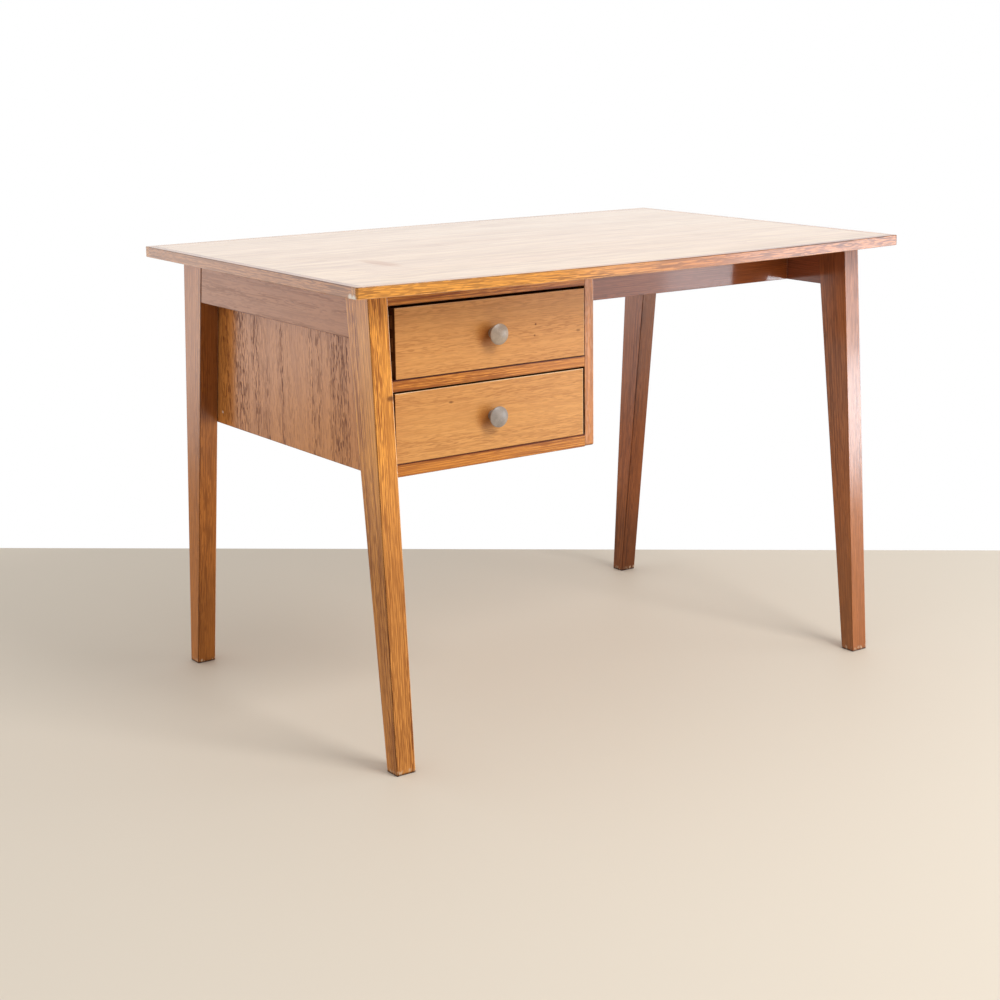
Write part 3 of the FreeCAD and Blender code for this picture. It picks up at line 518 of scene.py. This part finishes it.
def woodFinish(piece, look, axis, seed, tilt=0.0, feet=False):
    make = Shading(f"{piece}_wood")
    shader = make.shader
    place = make.add("ShaderNodeTexCoord").outputs["Object"]
    turn = make.add("ShaderNodeMapping")
    turnX, turnY, turnZ = grainTurns[axis]
    turn.inputs["Rotation"].default_value = (turnX + tilt, turnY, turnZ)
    make.link(place, turn.inputs["Vector"])
    grain = turn.outputs[0]

    ring = grainRings(make, grain, look, seed)
    inward = make.sums("SUBTRACT", 1.0, ring)
    early = make.sums("POWER", inward, woodHabits["earlyPower"])
    rim = make.sums("MULTIPLY", make.sums("POWER", inward, woodHabits["rimPower"]), look["ringLine"])
    pores = make.sums("MAXIMUM", poreLines(make, grain, look, seed), rim)
    drift = make.noise(make.stretch(grain, woodHabits["driftScale"]), seed + seedSteps["drift"], rough=0.5)
    wood = make.blend(make.sums("MULTIPLY", early, look["ringShare"]), look["pale"], look["deep"])
    drifted = make.span(drift, *woodHabits["driftLevels"], 0.0, look["driftShare"])
    wood = make.blend(drifted, wood, look["deep"])
    wood = make.blend(pores, wood, look["pore"])

    facing = make.add("ShaderNodeNewGeometry").outputs["True Normal"]
    wood = shadeAndToneWood(make, wood, place, facing, shadeAndToneTints.get(piece, ()))
    if look["endShare"]:
        # end grain is darker: part stain soaked into it, part painted shade in the gaps beside the drawer
        # fronts
        along = make.sums("ABSOLUTE", make.split(facing)["xyz".index(axis)])
        endDark = make.span(along, *woodHabits["endLevels"], 0.0, look["endShare"])
        wood = make.blend(endDark, wood, look["dirtAndShade"])
    wood, shadeAndMarks = arrisLightAndShade(make, wood, grain, look, seed)
    if look["fleck"]:
        rays = make.dashes(grain, *woodHabits["fleckLine"], seed + seedSteps["fleck"])
        wood = make.blend(make.sums("MULTIPLY", rays, look["fleck"]), wood, look["highlightAndFleck"])
    # painted shade in the gaps and joints
    occlusionShade = make.sums("MULTIPLY", make.occlusionShade(look["creviceReach"]), woodHabits["creviceShade"])
    wood = make.blend(occlusionShade, wood, look["dirtAndShade"])
    if feet:
        wood = scuffedFoot(make, wood, place, look, seed)
    for step, (centre, reach, tint, share) in enumerate(woodMarks.get(piece, ())):
        mark = make.spot(place, centre, reach, woodHabits["markRag"], seed + seedSteps["mark"] + step)
        mark = make.sums("MULTIPLY", mark, share)
        wood = make.blend(mark, wood, tint)
        shadeAndMarks = make.sums("MAXIMUM", shadeAndMarks, mark)
    make.link(wood, shader.inputs["Base Color"])

    uneven = make.sums("MULTIPLY_ADD", pores, woodHabits["poreRough"], drift)
    make.link(make.span(uneven, *woodHabits["roughLevels"], *look["roughness"]), shader.inputs["Roughness"])
    if look["coat"]:
        make.link(brokenPolish(make, place, pores, shadeAndMarks, look, feet), shader.inputs["Coat Weight"])
    shader.inputs["Coat Roughness"].default_value = look["coatRough"]
    shader.inputs["Specular IOR Level"].default_value = look["gloss"]
    relief = make.sums("SUBTRACT", make.sums("MULTIPLY", ring, woodHabits["ringRelief"]), pores)
    make.bump(relief, woodHabits["reliefDepth"], woodHabits["reliefStrength"])
    return make.material


def dress(name, material):
    piece = nodes[name]
    for held in piece.material_slots:
        held.material = material


# marks that age has left, and painted shadow about the knobs' feet, as (place, reach, colour, strength)
darkSpot = colour(96, 50, 22)
knobShadowAndGrime = colour(150, 84, 34)
chipped = colour(246, 236, 222)
woodMarks = {
    "top_panel": (((-0.370, -0.108, 0.75), (0.024, 0.075, 0.01), colour(176, 108, 66), 0.5),),
    "left_lipping": (((-0.550, -0.3195, 0.7345), (0.004, 0.009, 0.0065), chipped, 0.9),),
    "front_lipping": (((-0.550, -0.3285, 0.7335), (0.004, 0.009, 0.0065), chipped, 0.9),),
    "box_left_panel": (((-0.469, 0.092, 0.449), (0.01, 0.003, 0.007), solidOak["dirtAndShade"], 0.9),
                       ((-0.469, 0.260, 0.4675), (0.01, 0.004, 0.003), chipped, 0.6)),
    "front_left_leg": (((-0.474, -0.302, 0.575), (0.010, 0.02, 0.006), darkSpot, 0.8),),
    # the first mark on each drawer front is painted shadow under the knob's cap, with some grime from fingers
    "upper_drawer_front": (((-0.281, -0.272, 0.6465), (0.026, 0.02, 0.024), knobShadowAndGrime, 0.7),
                           ((-0.189, -0.272, 0.6555), (0.0026, 0.005, 0.0024), darkSpot, 0.9),
                           ((-0.191, -0.272, 0.638), (0.0024, 0.005, 0.002), darkSpot, 0.8),
                           ((-0.105, -0.272, 0.638), (0.006, 0.005, 0.003), darkSpot, 0.6)),
    "lower_drawer_front": (((-0.284, -0.272, 0.5175), (0.026, 0.02, 0.024), knobShadowAndGrime, 0.7),
                           ((-0.350, -0.272, 0.5506), (0.006, 0.005, 0.0026), darkSpot, 0.7)),
}

# tones fitted to the photo, where wood and light can't be told apart: mostly painted shade and shadow
# each is (reaches, tint), with each reach as (direction, start, full)
facesFront = ("y", -0.3, -0.8)
facesLeft = ("x", -0.3, -0.8)
shadeAndToneTints = {
    # darker and pinker towards the right end
    "front_lipping": (((("X", -0.22, 0.14),), colour(214, 192, 208)),),
    # painted shade: darker towards the bottom
    "front_left_leg": (((("Z", 0.50, 0.28),), colour(220, 218, 255)),),
    # painted shade on the front face: darker under the box and towards the bottom
    "back_left_leg": (((facesFront, ("Z", 0.43, 0.47)), colour(190, 178, 170)),
                      ((facesFront, ("Z", 0.30, 0.05)), colour(212, 208, 198))),
    # painted shade on the left face: darker under the top and towards the bottom
    "front_right_leg": (((facesLeft, ("Z", 0.655, 0.70)), colour(214, 208, 240)),
                        ((facesLeft, ("Z", 0.30, 0.05)), colour(225, 222, 180))),
    # painted shade: the front face darker, and all darker towards the bottom
    "back_right_leg": (((facesFront,), colour(205, 200, 208)), ((("Z", 0.24, 0.03),), colour(198, 195, 188))),
    # painted shadow from the gap under each drawer, along the rail's top edge
    "box_middle_rail": (((("Z", 0.5925, 0.5945),), colour(112, 70, 60)),),
    "box_bottom_rail": (((("Z", 0.4635, 0.4655),), colour(140, 96, 84)),),
}

# each wooden piece's look, grain direction and seed
panelOak = dict(sideVeneer, bands=((0.185, 0.045), (-0.14, 0.05)))
boxOak = dict(solidOak, pale=colour(214, 140, 54), deep=colour(178, 100, 34), coat=0.6, arrisHighlight=0.0)
edgeOak = dict(midOak, fleck=0.12)
woodPieces = {
    "top_panel": (topVeneer, "x", 11),
    "front_lipping": (topEdge, "x", 12), "back_lipping": (cleanEdge, "x", 13),
    "left_lipping": (sideEdge, "y", 14), "right_lipping": (cleanEdge, "y", 15),
    "left_rail": (railVeneer, "y", 21), "right_rail": (shadeOak, "y", 22),
    "knee_rail": (kneeOak, "x", 23), "back_rail": (kneeOak, "x", 24),
    "box_left_panel": (panelOak, "z", 31), "box_right_panel": (sideVeneer, "z", 32),
    "box_right_lipping": (edgeOak, "z", 33), "box_top_rail": (boxOak, "x", 34),
    "box_middle_rail": (boxOak, "x", 35), "box_bottom_rail": (boxOak, "x", 36),
    "box_bottom": (plywood, "x", 37), "box_back": (plywood, "x", 38),
    "left_runner": (innerWood, "y", 41), "right_runner": (innerWood, "y", 42),
    "left_kicker": (innerWood, "y", 43), "right_kicker": (innerWood, "y", 44),
    "upper_stops": (innerWood, "x", 45), "lower_stops": (innerWood, "x", 46),
    "top_cleats": (innerWood, "x", 47), "side_rail_dowels": (innerWood, "y", 48),
    "long_rail_dowels": (innerWood, "x", 49), "box_rail_dowels": (innerWood, "x", 50),
}
for drawer, seed in (("upper", 60), ("lower", 70)):
    woodPieces[f"{drawer}_drawer_front"] = (frontWood, "x", seed)
    woodPieces[f"{drawer}_drawer_left_side"] = (drawerWood, "y", seed + 1)
    woodPieces[f"{drawer}_drawer_right_side"] = (drawerWood, "y", seed + 2)
    woodPieces[f"{drawer}_drawer_back"] = (drawerWood, "x", seed + 3)
    woodPieces[f"{drawer}_drawer_bottom"] = (plywood, "x", seed + 4)

# the legs' grain follows their lean, in radians
legLean = 0.091
legs = {
    "front_left_leg": (solidOak, legLean, 81), "front_right_leg": (redOak, legLean, 82),
    "back_left_leg": (midOak, -legLean, 83), "back_right_leg": (darkOak, -legLean, 84),
}
for name, (look, axis, seed) in woodPieces.items():
    dress(name, woodFinish(name, look, axis, seed))
for name, (look, tilt, seed) in legs.items():
    dress(name, woodFinish(name, look, "z", seed, tilt, feet=True))
print("wood finished on", len(woodPieces) + len(legs), "pieces")


# knobs: satin paint over turned wood, with specks rubbed paler, and painted shade about the neck

knobPaint = {
    "paintedShade": colour(58, 36, 24),
    "shadeReach": 0.02,
    "shadeShare": 0.9,
    "cloudScale": 70.0,
    "cloudLevels": (0.35, 0.65),
    "speckScale": 900.0,
    "speckLevels": (0.58, 0.66),
    "speckShare": 0.5,
    "roughLevels": (0.3, 0.7),
    "roughness": (0.36, 0.48),
    "coat": 0.7,
    "coatRough": 0.38,
    "speckRelief": 0.4,
    "reliefDepth": 0.0002,
    "reliefStrength": 0.4,
}
knobPaints = {
    "upper": dict(knobPaint, body=colour(168, 147, 126), lightened=colour(190, 171, 150),
                  dull=colour(138, 120, 102), cloudSeed=5, speckSeed=7),
    "lower": dict(knobPaint, body=colour(152, 139, 128), lightened=colour(178, 166, 154),
                  dull=colour(126, 115, 106), cloudSeed=8, speckSeed=10),
}


def knobFinish(name, look):
    make = Shading(name)
    shader = make.shader
    place = make.add("ShaderNodeTexCoord").outputs["Object"]
    cloud = make.noise(place, look["cloudSeed"], look["cloudScale"])
    speck = make.noise(place, look["speckSeed"], look["speckScale"], detail=2.0)
    paint = make.blend(make.span(cloud, *look["cloudLevels"]), look["dull"], look["body"])
    paint = make.blend(make.span(speck, *look["speckLevels"], 0.0, look["speckShare"]), paint, look["lightened"])
    # painted shade about the neck and under the cap
    occlusionShade = make.sums("MULTIPLY", make.occlusionShade(look["shadeReach"]), look["shadeShare"])
    paint = make.blend(occlusionShade, paint, look["paintedShade"])
    make.link(paint, shader.inputs["Base Color"])
    make.link(make.span(cloud, *look["roughLevels"], *look["roughness"]), shader.inputs["Roughness"])
    shader.inputs["Coat Weight"].default_value = look["coat"]
    shader.inputs["Coat Roughness"].default_value = look["coatRough"]
    relief = make.sums("ADD", cloud, make.sums("MULTIPLY", speck, look["speckRelief"]))
    make.bump(relief, look["reliefDepth"], look["reliefStrength"])
    return make.material


for drawer, look in knobPaints.items():
    dress(f"{drawer}_knob", knobFinish(f"{drawer}_knob_paint", look))


# screws: dull zinced steel

screwSteel = {
    "metal": colour(176, 174, 170),
    "tarnish": colour(120, 112, 100),
    "seed": 3.0,
    "cloudScale": 160.0,
    "cloudLevels": (0.4, 0.7),
    "roughLevels": (0.3, 0.7),
    "roughness": (0.3, 0.55),
    "reliefDepth": 0.0001,
    "reliefStrength": 0.4,
}


def screwFinish(name, look):
    make = Shading(name)
    shader = make.shader
    place = make.add("ShaderNodeTexCoord").outputs["Object"]
    cloud = make.noise(place, look["seed"], look["cloudScale"], detail=4.0)
    metal = make.blend(make.span(cloud, *look["cloudLevels"]), look["metal"], look["tarnish"])
    make.link(metal, shader.inputs["Base Color"])
    shader.inputs["Metallic"].default_value = 1.0
    make.link(make.span(cloud, *look["roughLevels"], *look["roughness"]), shader.inputs["Roughness"])
    make.bump(cloud, look["reliefDepth"], look["reliefStrength"])
    return make.material


steel = screwFinish("screw_steel", screwSteel)
for name in ("runner_screws", "kicker_screws", "panel_screws", "cleat_top_screws", "cleat_rail_screws",
             "upper_knob_screw", "lower_knob_screw"):
    dress(name, steel)
print("knobs and screws finished")
